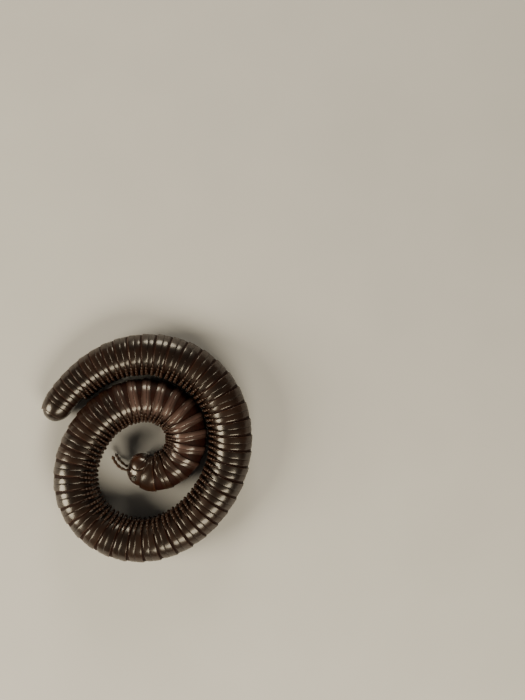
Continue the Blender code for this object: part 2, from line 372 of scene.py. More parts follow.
class Socket:
    """A node's output in a Python expression, where each operator adds a Math node."""

    __add__ = operator("ADD")
    __radd__ = operator("ADD", reflected=True)
    __sub__ = operator("SUBTRACT")
    __rsub__ = operator("SUBTRACT", reflected=True)
    __mul__ = operator("MULTIPLY")
    __rmul__ = operator("MULTIPLY", reflected=True)
    __pow__ = operator("POWER")
    __rpow__ = operator("POWER", reflected=True)
    __abs__ = operator("ABSOLUTE")
    fraction = operator("FRACT")
    floor = operator("FLOOR")
    sine = operator("SINE")

    def __init__(self, finish, output):
        self.finish = finish
        self.output = output

    def rise(self, low, high):
        """A smooth rise from 0 at low to 1 at high."""
        settings = {"interpolation_type": "SMOOTHSTEP"}
        inputs = {"Value": self, "From Min": low, "From Max": high}
        return self.finish.node("MapRange", settings, inputs)


class Finish:
    """One material, and the one way in which its nodes are added."""

    def __init__(self, name):
        self.material = bpy.data.materials.new(name)
        self.material.use_nodes = True
        self.tree = self.material.node_tree
        self.shader = self.tree.nodes["Principled BSDF"]

    def set_inputs(self, node, inputs):
        """Links each input that is a Socket, and gives the others their value."""
        for name, value in inputs.items():
            if isinstance(value, Socket):
                self.tree.links.new(value.output, node.inputs[name])
            else:
                node.inputs[name].default_value = value

    def node(self, kind, settings=None, inputs=None, output=0):
        """Adds a node of some kind, with its settings first and then its inputs."""
        made = self.tree.nodes.new("ShaderNode" + kind)
        for name, value in (settings or {}).items():
            setattr(made, name, value)
        self.set_inputs(made, inputs or {})
        return Socket(self, made.outputs[output])

    def place(self):
        """The object's own coordinates, in metres."""
        return self.node("TexCoord", output="Object")

    def attribute(self, name):
        """The three parts of a vector attribute."""
        vector = self.node("Attribute", {"attribute_name": name}, output="Vector")
        return [self.node("SeparateXYZ", inputs={0: vector}, output=part) for part in range(3)]

    def vector(self, *parts):
        return self.node("CombineXYZ", inputs=dict(enumerate(parts)))

    def noise(self, scale, detail=2.0, where=None):
        """Noise on the object's own coordinates, or on a vector that follows the body."""
        sizes = {"Vector": where or self.place(), "Scale": scale, "Detail": detail}
        return self.node("TexNoise", inputs=sizes)

    def per_ring(self, place):
        """A number from 0 to 1 that differs from ring to ring."""
        return self.node("TexWhiteNoise", {"noise_dimensions": "1D"}, {"W": place.floor() + 0.5})

    def mix(self, factor, first, second):
        """Mixes two colours."""
        inputs = {0: factor, 6: first, 7: second}
        return self.node("Mix", {"data_type": "RGBA"}, inputs, output=2)

    def bump(self, height, distance):
        """A normal from a height, where 1 stands for a distance in metres."""
        inputs = {"Height": height, "Distance": distance, "Strength": 1.0}
        return self.node("Bump", inputs=inputs)

    def done(self, **inputs):
        """Sets the shader's inputs, named with underscores for spaces."""
        self.set_inputs(self.shader, {name.replace("_", " "): v for name, v in inputs.items()})
        return self.material


def colour(red, green, blue):
    """An opaque colour."""
    return (red, green, blue, 1.0)


SHELL_DARK = colour(0.0046, 0.0021, 0.0013)
SHELL_BROWN = colour(0.0140, 0.0058, 0.0030)
COLLAR_MAROON = colour(0.0190, 0.0045, 0.0026)
COLLAR_DARK = colour(0.0080, 0.0022, 0.0014)
SUTURE_RED = colour(0.0050, 0.0018, 0.0012)
MARGIN_AMBER = colour(0.0520, 0.0165, 0.0060)
FLANK_BROWN = colour(0.0165, 0.0070, 0.0037)
BACK_BROWN = colour(0.0200, 0.0074, 0.0037)
# A pale colour for the front rings: partly their own tone, partly painted sheen.
FRONT_BLOOM_AND_SHEEN = colour(0.0860, 0.0510, 0.0460)
# The rings over which a pale bloom, partly their own paler tone and partly painted sheen,
# begins and ends, and the redder front collars with it. On each ring it is strongest along the
# middle of the glossy bands, as painted sheen.
BLOOM_AND_SHEEN_BEGINS = (1.5, 5.5)
BLOOM_AND_SHEEN_ENDS = (11.5, 13.5)
SHEEN_GROWS = (0.38, 0.66)
SHEEN_FADES = (0.76, 0.99)
# Where the amber hind margin begins, as parts of a ring's length.
MARGIN = (0.955, 0.985)
# Places round the body, as parts of the way from the belly, at 0, to the back, at 1.
FLANK = (0.10, 0.46)
BACK = (0.60, 0.95)
# How many fine lines run along the body on half its girth, and round it on each ring's length.
FLANK_LINES = 30
COLLAR_LINES = 40


def shell_finish():
    """The glossy bands: dark and waxy, browner low on the flanks, with thin hind margins."""
    made = Finish("shell")
    place, girth, _ = made.attribute("girth")
    phase = place.fraction()
    differs = made.per_ring(place)
    cloud = made.noise(230, 3)
    mottle = made.noise(1500, 3)
    wrinkles = made.noise(1.0, 3, made.vector(place * 42, girth * 9, differs * 20))
    suture = 1 - abs(phase - SUTURE_AT).rise(0.005, SUTURE_LENGTH / 2)
    margin = phase.rise(*MARGIN)
    flank = 1 - girth.rise(*FLANK)
    back = girth.rise(*BACK)
    worn = (cloud * 1.2 + differs * 0.4 + wrinkles * 0.5 - 0.7).rise(0.0, 0.8)
    base = made.mix(worn, SHELL_DARK, SHELL_BROWN)
    base = made.mix(flank * 0.5, base, FLANK_BROWN)
    base = made.mix(back * (0.3 + cloud * 0.6), base, BACK_BROWN)
    # The front rings' pale tone, with painted sheen along the middle of each glossy band.
    bloom = place.rise(*BLOOM_AND_SHEEN_BEGINS) - place.rise(*BLOOM_AND_SHEEN_ENDS)
    middle = phase.rise(*SHEEN_GROWS) - phase.rise(*SHEEN_FADES)
    base = made.mix(bloom * (0.05 + cloud * 0.40 + middle * 0.50), base, FRONT_BLOOM_AND_SHEEN)
    base = made.mix(suture * 0.8, base, SUTURE_RED)
    base = made.mix(margin * (0.10 + cloud * 0.45), base, MARGIN_AMBER)
    length_lines = abs((girth * (math.pi * FLANK_LINES) + mottle * 0.4).sine()) ** 6 * flank
    pits = made.noise(3800, 3)
    waves = made.noise(520, 2)
    height = pits * 0.12 + mottle * 0.12 + wrinkles * 0.5 + waves * 2.2 - length_lines * 1.5
    return made.done(
        Base_Color=base,
        Roughness=0.34 + worn * 0.10 + mottle * 0.10 + flank * 0.06,
        Specular_IOR_Level=0.12,
        Coat_Weight=0.92 - suture * 0.4 - worn * 0.2 - back * 0.3,
        Coat_Roughness=0.225,
        Normal=made.bump(height, 0.013 * MM),
    )


def collar_finish():
    """The sunk collars: dull maroon, with fine lines round the body."""
    made = Finish("collar")
    place, _, _ = made.attribute("girth")
    cloud = made.noise(500, 3)
    mottle = made.noise(1900, 3)
    base = made.mix((mottle * 0.6 + cloud * 0.4).rise(0.3, 0.7), COLLAR_DARK, COLLAR_MAROON)
    base = made.mix(place.rise(*BLOOM_AND_SHEEN_ENDS) * 0.7, base, COLLAR_DARK)
    lines = (place * (math.tau * COLLAR_LINES) + mottle * 3).sine()
    return made.done(
        Base_Color=base,
        Roughness=0.50 + cloud * 0.15,
        Specular_IOR_Level=0.10,
        Normal=made.bump(lines * 0.3 + mottle * 0.5, 0.014 * MM),
    )


def plain_finish(name, scale, dark, light, rough, spread, **others):
    """Clouds of two colours, rougher where they are lighter."""
    made = Finish(name)
    cloud = made.noise(scale, 2)
    base = made.mix(cloud, colour(*dark), colour(*light))
    return made.done(Base_Color=base, Roughness=rough + cloud * spread, **others)


def pore_finish():
    """The gland openings on the flanks."""
    return plain_finish("pore", 1500, (0.006, 0.003, 0.002), (0.030, 0.013, 0.007), 0.3, 0.2)


def bristle_finish():
    """Thin amber bristles."""
    return plain_finish("bristle", 900, (0.10, 0.045, 0.018), (0.24, 0.12, 0.05), 0.4, 0.1)


def limb_finish():
    """Reddish dark legs and feelers, darker at the joints."""
    made = Finish("limb")
    share, _, _ = made.attribute("girth")
    joint = abs(share.fraction() - 0.5).rise(0.36, 0.5)
    mottle = made.noise(1800, 2)
    base = made.mix(mottle, colour(0.0120, 0.0046, 0.0026), colour(0.0340, 0.0135, 0.0070))
    base = made.mix(joint * 0.6, base, colour(0.0060, 0.0025, 0.0016))
    height = made.noise(5200, 2)
    return made.done(
        Base_Color=base,
        Roughness=0.36 + mottle * 0.12,
        Specular_IOR_Level=0.22,
        Coat_Weight=0.25,
        Coat_Roughness=0.2,
        Normal=made.bump(height, 0.008 * MM),
    )


def claw_finish():
    """Smooth dark claws and teeth."""
    return plain_finish("claw", 900, (0.012, 0.006, 0.004), (0.05, 0.02, 0.01), 0.25, 0.1)


def head_finish():
    """Smooth dark head, browner towards the mouth, with painted shade darkening its grooves."""
    made = Finish("head_shell")
    near_mouth, groove, _ = made.attribute("girth")
    cloud = made.noise(420, 3)
    mottle = made.noise(1900, 3)
    cells = made.node("TexVoronoi", inputs={"Vector": made.place(), "Scale": 2600.0})
    pits = 1 - cells.rise(0.0, 0.22)
    base = made.mix(cloud, colour(0.0070, 0.0033, 0.0021), colour(0.0230, 0.0088, 0.0048))
    base = made.mix(near_mouth * 0.7, base, colour(0.0640, 0.0210, 0.0092))
    # Painted shade: the deeper a groove, the darker its colour.
    base = made.mix(groove, base, colour(0.0040, 0.0017, 0.0011))
    height = made.noise(4800, 2) * 0.4 + mottle * 0.5 - pits * 0.5
    return made.done(
        Base_Color=base,
        Roughness=0.32 + mottle * 0.12 + groove * 0.2,
        Specular_IOR_Level=0.22,
        Coat_Weight=0.75 - groove * 0.6,
        Coat_Roughness=0.15,
        Normal=made.bump(height, 0.012 * MM),
    )


def membrane_finish():
    """The soft skin between the plates."""
    made = Finish("membrane")
    cloud = made.noise(700, 3)
    base = made.mix(cloud, colour(0.020, 0.010, 0.008), colour(0.055, 0.028, 0.018))
    height = made.noise(3000, 3)
    return made.done(
        Base_Color=base, Roughness=0.5 + cloud * 0.1, Normal=made.bump(height, 0.03 * MM)
    )


def eye_finish():
    """Black lenses with a faint brown bloom."""
    dark, light = (0.004, 0.004, 0.0045), (0.014, 0.009, 0.007)
    coat = {"Coat_Weight": 0.5, "Coat_Roughness": 0.12}
    return plain_finish("eye", 1600, dark, light, 0.22, 0.1, **coat)


# ---- the rings


def ring_profile():
    """Places and sizes along one ring, from its front edge to the underside of its hind lip."""

    def stretch(start, end, sizes, steps, swell=0.0):
        """A straight stretch from one size to another, with a low arch over it."""
        low, high = sizes
        for step in range(steps):
            part = step / steps
            size = low + (high - low) * part + swell * (1 - (2 * part - 1) ** 2)
            points.append((start + (end - start) * part, size))

    points = []
    shoulder_end = COLLAR_END + SHOULDER_LENGTH
    suture_start = SUTURE_AT - SUTURE_LENGTH / 2
    suture_end = SUTURE_AT + SUTURE_LENGTH / 2
    lip_start = 1 - LIP_LENGTH
    stretch(0.0, COLLAR_END, COLLAR_SIZES, COLLAR_STEPS)
    for step in range(SHOULDER_STEPS):
        part = step / SHOULDER_STEPS
        size = COLLAR_SIZES[1] + (LOW_SIZES[0] - COLLAR_SIZES[1]) * ease(part)
        points.append((COLLAR_END + SHOULDER_LENGTH * part, size))
    stretch(shoulder_end, suture_start, LOW_SIZES, BAND_STEPS, BAND_SWELL)
    for step in range(SUTURE_STEPS):
        part = step / SUTURE_STEPS
        edge = LOW_SIZES[1] if part < 0.5 else HIGH_SIZES[0]
        size = edge + (SUTURE_SIZE - edge) * ease(1 - abs(2 * part - 1))
        points.append((suture_start + SUTURE_LENGTH * part, size))
    stretch(suture_end, lip_start, HIGH_SIZES, BAND_STEPS, BAND_SWELL)
    for step in range(LIP_STEPS + 1):
        angle = math.pi * step / LIP_STEPS
        place = lip_start + LIP_LENGTH * math.sin(angle)
        points.append((place, 1 - LIP_SIZE + LIP_SIZE * math.cos(angle)))
    points.append((LIP_UNDER_AT, COLLAR_SIZES[0] + LIP_GAP))
    return points


def trunk_shell(first, count):
    """The rings of one length of the trunk, closed at both ends inside their neighbours."""
    points = [(first - TUCK, 0.0), (first - TUCK, COLLAR_SIZES[0])]
    for ring in range(first, first + count):
        points += [(ring + place, size) for place, size in ring_profile()]
    points.append((first + count - 1 + LIP_UNDER_AT - END_GAP, 0.0))
    shape = turned(points, SIDES_ROUND, merge=RING_MERGE)
    for face in shape.faces:
        _, across, up = face.calc_center_median()
        face.material_index = int(math.hypot(across, up) < COLLAR_MOST)
    lay_on_coil(shape)
    return shape


def make_trunk(shell, collar, limb, claw):
    """The lengths of rings, each with the legs that grow from it, and all the claws."""
    rng = random.Random(SEED)
    claws = bmesh.new()
    first = 1
    for number, count in enumerate(RINGS_PER_LENGTH, start=1):
        node = f"trunk_{number:02d}"
        rings = trunk_shell(first, count)
        make_piece(f"rings_{number:02d}", rings, (shell, collar), "shell", node)
        legs = bmesh.new()
        for ring in range(first, min(first + count, LAST_LEG_RING + 1)):
            for share in SINGLE_LEG_AT if ring < FIRST_DOUBLE_RING else DOUBLE_LEGS_AT:
                add_shape(legs, belly_plate(ring + share))
                for flank in (1, -1):
                    add_leg(legs, claws, ring + share, flank, rng)
        make_piece(f"legs_{number:02d}", legs, (limb,), "limb", node)
        first += count
    make_piece("leg_claws", claws, (claw,), "limb")


def make_pores(pore):
    """A small rimmed opening on each flank of most rings."""
    whole = bmesh.new()
    for ring in range(FIRST_PORE_RING, RING_COUNT - 1):
        place = ring + SUTURE_AT + SUTURE_LENGTH
        for flank in (1, -1):
            angle = math.radians(PORE_ANGLE_DEG) * flank
            root = body_point(place, angle, HIGH_SIZES[0] + PORE_RISE)
            outwards = body_point(place, angle, WELL_OUTSIDE) - root
            rim = turned([(up * MM, out * MM) for up, out in PORE_PROFILE_MM], PORE_SIDES)
            move(rim, pointed(root, outwards))
            add_shape(whole, rim)
    make_piece("flank_pores", whole, (pore,), "shell")


# ---- the legs


def leg_point(ring, angle_deg, out_mm, flank, sweep_mm):
    """A point beside the body, at an angle round it and a distance out of its surface."""
    angle = math.radians(angle_deg)
    radius = radius_at(ring) + out_mm * MM
    across = flat_belly(math.cos(angle)) if out_mm < 0 else math.cos(angle)
    axes = coil_axes(ring)
    return axes @ Vector((sweep_mm * MM, across * radius, math.sin(angle) * radius * flank))


def limb_joint(start, end, radius, profile, sides):
    """One joint of a limb, turned from a profile of parts of its length and radius."""
    length = (end - start).length
    shape = turned([(place * length, out * radius) for place, out in profile], sides)
    girth = girth_layer(shape)
    for vertex in shape.verts:
        vertex[girth] = (vertex.co.x / length * JOINT_SHARE, 0.0, 0.0)
    move(shape, pointed(start, end - start))
    return shape


def leg_thickness(ring):
    """1 where a leg has its full thickness, and less where the coil's bend crowds the legs."""
    bend = math.radians(along(RING_BENDS_DEG, ring))
    room = (along(RING_LENGTHS_MM, ring) - bend * along(RING_RADII_MM, ring)) / 2
    return min(1.0, LEG_ROOM_TAKEN * room / LEG_RADII_MM[0])


def belly_plate(ring):
    """The small raised plate between the two legs of a pair."""
    length, height, width = BELLY_PLATE_MM
    half_sizes = (length * leg_thickness(ring) * MM, height * MM, width * MM)
    plate = rounded_ball(half_sizes, (0, 0, 0), 2)
    girth = girth_layer(plate)
    for vertex in plate.verts:
        vertex[girth] = (0.5, 0.0, 0.0)
    place = Matrix.Translation((0, BELLY_PLATE_AT * radius_at(ring), 0))
    move(plate, coil_axes(ring) @ place)
    return plate


def add_leg(legs, claws, ring, flank, rng):
    """One folded leg: out of the belly, over the knee, and back against the flank."""
    lean = rng.uniform(*LEG_LEANS_DEG)
    lift = rng.uniform(*LEG_LIFTS_MM)
    sweep = rng.uniform(*LEG_SWEEPS_MM)
    points = []
    for number, (angle_deg, out_mm) in enumerate(LEG_JOINTS + (CLAW_END,)):
        part = number / len(LEG_JOINTS)
        rise = lift * math.sin(math.pi * part)
        swept = -(LEG_SWEPT_MM + sweep) * part * 2
        points.append(leg_point(ring, angle_deg + lean * part, out_mm + rise, flank, swept))
    thick = leg_thickness(ring)
    for start, end, radius in zip(points, points[1:-1], LEG_RADII_MM):
        add_shape(legs, limb_joint(start, end, radius * thick * MM, ARTICLE_PROFILE, LEG_SIDES))
    claw = limb_joint(points[-2], points[-1], CLAW_RADIUS_MM * MM, CLAW_PROFILE, CLAW_SIDES)
    add_shape(claws, claw)


# ---- collum and neck

# Both are made on the straight body. The collum narrows to a lobe between two angles.
COLLUM_SIDES = 120
COLLUM_STEPS = 64
COLLUM_LOWEST = math.radians(38)
COLLUM_LOBE_FROM = math.radians(100)
COLLUM_FRONT_CUT = 0.42
COLLUM_HIND_CUT = 0.10
COLLUM_START = 0.01
COLLUM_LENGTH = 0.97
COLLUM_FRONT_SIZE = 0.875
COLLUM_FULL_AT = 0.8
COLLUM_RIM = (0.012, 0.03)
COLLUM_GROOVE = (0.008, 0.03)
COLLUM_UNDERSIDE = ((1.0, 0.99), (0.995, 0.975), (0.95, 0.955), (0.5, 0.93), (0.06, 0.862))
FURROWS = 4.5
FURROW_WIDTH = 0.35
FURROW_DEPTH = 0.014
FURROW_ENDS = 0.2
NECK_SIDES = 96
NECK_STEPS = 48
NECK_START = 0.10
NECK_LENGTH = 0.83
NECK_SIZE = 0.80
NECK_SWELL = 0.11
NECK_SHAPE = 0.6
NECK_FOLDS = 6
NECK_FOLD_SIZE = 0.022


def collum_profile():
    """Places and sizes from the front rim over the outer side, and back along the inner side."""
    points = []
    for step in range(COLLUM_STEPS + 1):
        part = step / COLLUM_STEPS
        grown = math.sin(min(part / COLLUM_FULL_AT, 1.0) * math.pi / 2)
        size = COLLUM_FRONT_SIZE + (1 - COLLUM_FRONT_SIZE) * grown
        size += relief(COLLUM_RIM, part - 0.04) - relief(COLLUM_GROOVE, part - 0.11)
        points.append((COLLUM_START + part * COLLUM_LENGTH, size))
    return points + list(COLLUM_UNDERSIDE) + points[:1]


def collum_shield():
    """The shield behind the head: whole over the back, narrowing to a lobe on each flank.

    Its finish is that of the part of a ring behind the suture. Only its outer side has furrows.
    """
    sweep = math.tau - 2 * COLLUM_LOWEST
    shape = turned(collum_profile(), COLLUM_SIDES, COLLUM_LOWEST, sweep)
    ends = [edge for edge in shape.edges if edge.is_boundary]
    bmesh.ops.holes_fill(shape, edges=ends, sides=0)
    face_outwards(shape)
    girth = girth_layer(shape)
    for vertex in shape.verts:
        place, across, up = vertex.co
        size = math.hypot(across, up)
        angle = math.atan2(up, across)
        low = fade(abs(angle), COLLUM_LOBE_FROM, COLLUM_LOWEST - COLLUM_LOBE_FROM)
        front = COLLUM_FRONT_CUT * low
        hind = 1 - COLLUM_HIND_CUT * low
        vertex[girth] = (0.7 + place * 0.299, abs(angle) / math.pi, size)
        if size > 0.86 + 0.1 * place:
            furrow = bell(math.sin(place * math.pi * FURROWS), FURROW_WIDTH)
            furrow = furrow * fade(place, 0, FURROW_ENDS) * fade(place, 1, -FURROW_ENDS)
            size -= FURROW_DEPTH * furrow * low
        ring = front + place * (hind - front)
        radius = radius_at(ring) * size
        vertex.co = coil_point(ring, math.cos(angle) * radius, math.sin(angle) * radius)
    return shape


def neck_skin():
    """The soft neck inside the collum, with folds round it."""
    points = [(NECK_START, 0.0)]
    for step in range(NECK_STEPS + 1):
        part = step / NECK_STEPS
        fold = NECK_FOLD_SIZE * abs(math.sin(part * math.pi * NECK_FOLDS))
        size = NECK_SIZE + NECK_SWELL * part**NECK_SHAPE - NECK_FOLD_SIZE + fold
        points.append((NECK_START + NECK_LENGTH * part, size))
    points.append((NECK_START + NECK_LENGTH, 0.0))
    shape = turned(points, NECK_SIDES)
    lay_on_coil(shape)
    return shape


def make_collum(shell, membrane):
    """The collum, and the neck that shows in front of it."""
    make_piece("collum_shield", collum_shield(), (shell,), "shell", "collum")
    make_piece("neck_skin", neck_skin(), (membrane,), "shell", "collum")


# ---- the head

# The head is a capsule of three half sizes, fuller underneath. Its plates are the parts of it
# inside stretched balls (centre and half sizes): a cheek on each side, a lip, and a chin. Each
# plate swells to a low pillow with a groove round it. Grooves and rims are (size, width) in mm.
HEAD_SUBDIVISIONS = 7
HEAD_SIZES = Vector((4.5, 4.55, 4.25))
HEAD_CENTRE = Vector((-0.2, 0.3, 0.0))
HEAD_BACK = 0.3
# Vertices within this many mm of a cut count as on it, so that no sliver is left.
CUT_SNAP = 0.004
HEAD_FULLNESS = 0.5
CHEEK = (Vector((-1.7, 2.45, 3.2)), Vector((2.5, 2.3, 1.9)))
LIP = (Vector((-3.7, 3.9, 0.0)), Vector((1.45, 1.1, 2.3)))
CHIN = (Vector((-0.9, 4.8, 0.0)), Vector((2.2, 1.4, 1.95)))
CHEEK_RISE = 0.24
LIP_RISE = 0.12
CHIN_RISE = 0.14
PLATE_EDGE = 0.22
PLATE_GROOVE = (0.13, 0.10)
MOUTH_SLIT = (0.30, 0.14)
CHEEK_SUTURE = (0.09, 0.12)
CROWN_FURROW = (0.06, 0.11)
CHIN_SUTURE = (0.07, 0.10)
FOREHEAD = (0.10, 1.6)
SOCKET_DEPTH = 0.40
SOCKET_RADIUS = 0.36
SOCKET_EDGE = 0.2
SOCKET_RIM = (0.10, 0.16)
SOCKET_RIM_AT = 0.36
LIP_NOTCH = (0.34, 0.42)
LIP_PIT = (0.09, 0.12)
LIP_PITS = [Vector((-0.75, 0.62, 0.09 * n)).normalized() for n in range(-5, 6, 2)]
# A groove of this depth has its full painted shade.
FULL_GROOVE = 0.12
# Where these fade in, as (start, length): down is along Y, ahead along -X, inwards along -|Z|.
FULLNESS_DOWN = (-0.1, 0.7)
FOREHEAD_UP = (2.0, -2.0)
FOREHEAD_AHEAD = (-1.0, -2.0)
MOUTH_SLIT_DOWN = (4.0, 0.4)
CHIN_MIDDLE_AHEAD = (-1.3, -0.3)
CHIN_HIND_INWARDS = (1.1, -0.2)
CROWN_DOWN = (-0.5, 1.5)
NOTCH_DOWN = (4.15, 0.3)
NOTCH_AHEAD = (-2.4, -0.3)
MOUTH_COLOUR_DOWN = (2.0, 2.2)
MOUTH_COLOUR_AHEAD = (0, -3)
# The lines on a plate fade in from its edge.
PLATE_LINES = (0, 0.1)
# Slanting lines, as (a place along it, the place across it there, and its slope).
CHEEK_LINE = (1.4, -1.3, 0.5)
CHIN_LINE = (-1.5, 0.60, 0.25)
CHIN_HIND_AT = -0.2
TOOTH_LENGTH = 0.36
TOOTH_RADII = (0.12, 0.03)
TOOTH_SIDES = 12
TOOTH_PITCH = 0.22
TOOTH_PLACE = (-2.85, 4.3)
TOOTH_DIRECTION = Vector((0.6, 0.8, 0.0))
EYE_DIRECTION = Vector((-0.42, -0.55, 0.72)).normalized()
EYE_HALF_LENGTH = 1.05
EYE_HALF_WIDTH = 0.68
EYE_DOME = 0.14
EYE_RIM = (0.07, 0.16)
EYE_RIM_AT = 1.12
EYE_FILLED = 0.97
# Lower than this under an eye is the other side of the head.
EYE_UNDER = -1.5
LENS_COLUMNS = 5
LENS_PITCH = 0.215
LENS_RADIUS = 0.128
LENS_SEGMENTS = {"u_segments": 10, "v_segments": 6}
ANTENNA_DIRECTION = Vector((-0.80, -0.12, 0.59)).normalized()
ANTENNA_STEPS = (
    Vector((-0.9, -0.15, 0.75)),
    Vector((-1.25, 0.2, 0.4)),
    Vector((-1.3, 0.65, 0.05)),
    Vector((-1.1, 0.85, -0.25)),
    Vector((-0.8, 0.85, -0.35)),
)
ANTENNA_RADII = (0.36, 0.41, 0.44, 0.46, 0.46)
ANTENNA_SUNK = 0.3
ANTENNA_OVERLAP = 0.03
ANTENNA_SIDES = 20
ANTENNA_TIP_LENGTH = 0.28
ANTENNA_TIP_RADIUS = 0.24
FEELER_PROFILE = (
    (0.0, 0.0), (0.0, 0.50), (0.10, 0.62), (0.45, 0.84),
    (0.78, 1.0), (0.93, 0.96), (1.0, 0.74), (1.0, 0.0),
)
CONES = 4
CONE_SIDES = 8
CONE_RADIUS = 0.05
CONE_LENGTH = 0.12
CONE_ASIDE = 0.09
CONE_LEAN = 1.1
JOINT_BRISTLES = 16
BRISTLE_TURN = 0.382
BRISTLE_PLACES = (0.55, 0.92)
BRISTLE_LEANS = (0.7, 1.3)
BRISTLE_LENGTHS = (0.25, 0.42)
BRISTLE_ROOT = 0.92
BRISTLE_MIDDLE = 0.42
BRISTLE_RADII = (0.018, 0.003)
LIP_BRISTLES = 14
LIP_EDGE = (-0.54, 0.84, 0.36)
LIP_BRISTLE = (0.15, 1.0, 0.10)


def mirrored(vector, flank):
    """A vector as it is for the right flank, at 1, or mirrored for the left, at -1."""
    return Vector((vector.x, vector.y, vector.z * flank))


def fanned(parts, side):
    """A direction whose last part is spread from one side, at -1, to the other, at 1."""
    x, y, z = parts
    return Vector((x, y, z * side)).normalized()


def on_head(direction):
    """The point of the head's plain surface in a direction from its centre."""
    reach = Vector(d * h for d, h in zip(direction, HEAD_SIZES))
    return HEAD_CENTRE + reach


def inside(point, plate):
    """1 at the middle of a plate's ball, 0 at its surface, and negative outside it."""
    centre, half_sizes = plate
    return 1 - Vector((p - c) / h for p, c, h in zip(point, centre, half_sizes)).length_squared


def pillow(depth, rise):
    """How far a plate has risen at some depth inside its edge."""
    return rise * (1 - math.exp(-max(depth, 0.0) / PLATE_EDGE))


def across_line(line, along_it, across_it):
    """How far to one side of a slanting line a place is."""
    start, offset, slope = line
    return across_it - offset - slope * (along_it - start)


def eye_spread(over, down):
    """0 at the middle of an eye, and 1 at the edge of its oval."""
    return math.hypot(over / EYE_HALF_LENGTH, down / EYE_HALF_WIDTH)


def cut_flat(shape, place, outwards):
    """Cuts off what lies beyond a plane, and closes the cut. Works on shapes in mm."""
    whole = shape.verts[:] + shape.edges[:] + shape.faces[:]
    cut = bmesh.ops.bisect_plane(
        shape, geom=whole, dist=CUT_SNAP, plane_co=place, plane_no=outwards, clear_outer=True
    )
    edges = [piece for piece in cut["geom_cut"] if isinstance(piece, bmesh.types.BMEdge)]
    bmesh.ops.holes_fill(shape, edges=edges, sides=0)
    face_outwards(shape)


def eye_axes(flank):
    """Axes on the head's surface at the middle of an eye: X along the patch, Z outwards."""
    direction = mirrored(EYE_DIRECTION, flank)
    outwards = Vector(d / h for d, h in zip(direction, HEAD_SIZES)).normalized()
    return pointed(on_head(direction), outwards, "Z")


def plate_grooves(point, cheek, lip, chin):
    """How deep the grooves between the plates and the lines on them are at a point."""
    x, y, z = point
    grooves = sum(relief(PLATE_GROOVE, plate) for plate in (cheek, lip, chin))
    grooves += relief(MOUTH_SLIT, lip) * fade(y, *MOUTH_SLIT_DOWN)
    cheek_line = relief(CHEEK_SUTURE, across_line(CHEEK_LINE, y, x))
    grooves += cheek_line * fade(cheek, *PLATE_LINES)
    middle_line = relief(CHIN_SUTURE, z) * fade(x, *CHIN_MIDDLE_AHEAD)
    side_line = relief(CHIN_SUTURE, across_line(CHIN_LINE, x, abs(z)))
    hind_line = relief(CHIN_SUTURE, x - CHIN_HIND_AT) * fade(abs(z), *CHIN_HIND_INWARDS)
    grooves += max(middle_line, side_line, hind_line) * fade(chin, *PLATE_LINES)
    grooves += relief(CROWN_FURROW, z) * (1 - fade(y, *CROWN_DOWN))
    grooves += relief(LIP_NOTCH, z) * fade(y, *NOTCH_DOWN) * fade(x, *NOTCH_AHEAD)
    return grooves


def sculpted(direction, sockets, eyes):
    """The head's surface in a direction: a point, how near the mouth, and how deep in a groove."""
    fullness = 2 + HEAD_FULLNESS * fade(direction.y, *FULLNESS_DOWN)
    parts = [abs(d / h) ** fullness for d, h in zip(direction, HEAD_SIZES)]
    point = HEAD_CENTRE + direction * sum(parts) ** (-1 / fullness)
    x, y, z = point
    folded = Vector((x, y, abs(z)))
    cheek = inside(folded, CHEEK)
    lip = inside(folded, LIP)
    chin = min(inside(folded, CHIN), -lip)
    out = pillow(cheek, CHEEK_RISE) + pillow(lip, LIP_RISE) + pillow(chin, CHIN_RISE)
    out += relief(FOREHEAD, z) * fade(y, *FOREHEAD_UP) * fade(x, *FOREHEAD_AHEAD)
    grooves = plate_grooves(point, cheek, lip, chin)
    for pit in LIP_PITS:
        grooves += relief(LIP_PIT, (direction - pit).length * HEAD_SIZES.x)
    for socket in sockets:
        away = (point - socket).length - SOCKET_RADIUS
        grooves += SOCKET_DEPTH * (1 - fade(away, 0, SOCKET_EDGE))
        out += relief(SOCKET_RIM, away - SOCKET_RIM_AT)
    for axes in eyes:
        over, down, outwards = axes @ point
        if outwards > EYE_UNDER:
            spread = eye_spread(over, down)
            out += EYE_DOME * max(0.0, 1 - spread**2)
            grooves += relief(EYE_RIM, (spread - EYE_RIM_AT) * EYE_HALF_WIDTH)
    near_mouth = fade(y, *MOUTH_COLOUR_DOWN) * fade(x, *MOUTH_COLOUR_AHEAD)
    return point + direction * (out - grooves), near_mouth, min(1.0, grooves / FULL_GROOVE)


def add_cone(whole, place, direction, length, radii, sides):
    """Adds a cone that points in a direction, with its middle at a place."""
    shape = bmesh.new()
    root, tip = radii
    bmesh.ops.create_cone(
        shape, cap_ends=True, segments=sides, radius1=root, radius2=tip, depth=length
    )
    move(shape, pointed(place, direction, "Z"))
    add_shape(whole, shape)


def head_capsule():
    """The head, sculpted out of a ball and cut flat behind, where the neck begins."""
    shape = rounded_ball((1, 1, 1), (0, 0, 0), HEAD_SUBDIVISIONS)
    girth = girth_layer(shape)
    sockets = [on_head(mirrored(ANTENNA_DIRECTION, flank)) for flank in (1, -1)]
    eyes = [eye_axes(flank).inverted() for flank in (1, -1)]
    for vertex in shape.verts:
        vertex.co, near_mouth, groove = sculpted(vertex.co.normalized(), sockets, eyes)
        vertex[girth] = (near_mouth, groove, 0.0)
    cut_flat(shape, (HEAD_BACK, 0, 0), (1, 0, 0))
    to_coil(shape, 0)
    return shape


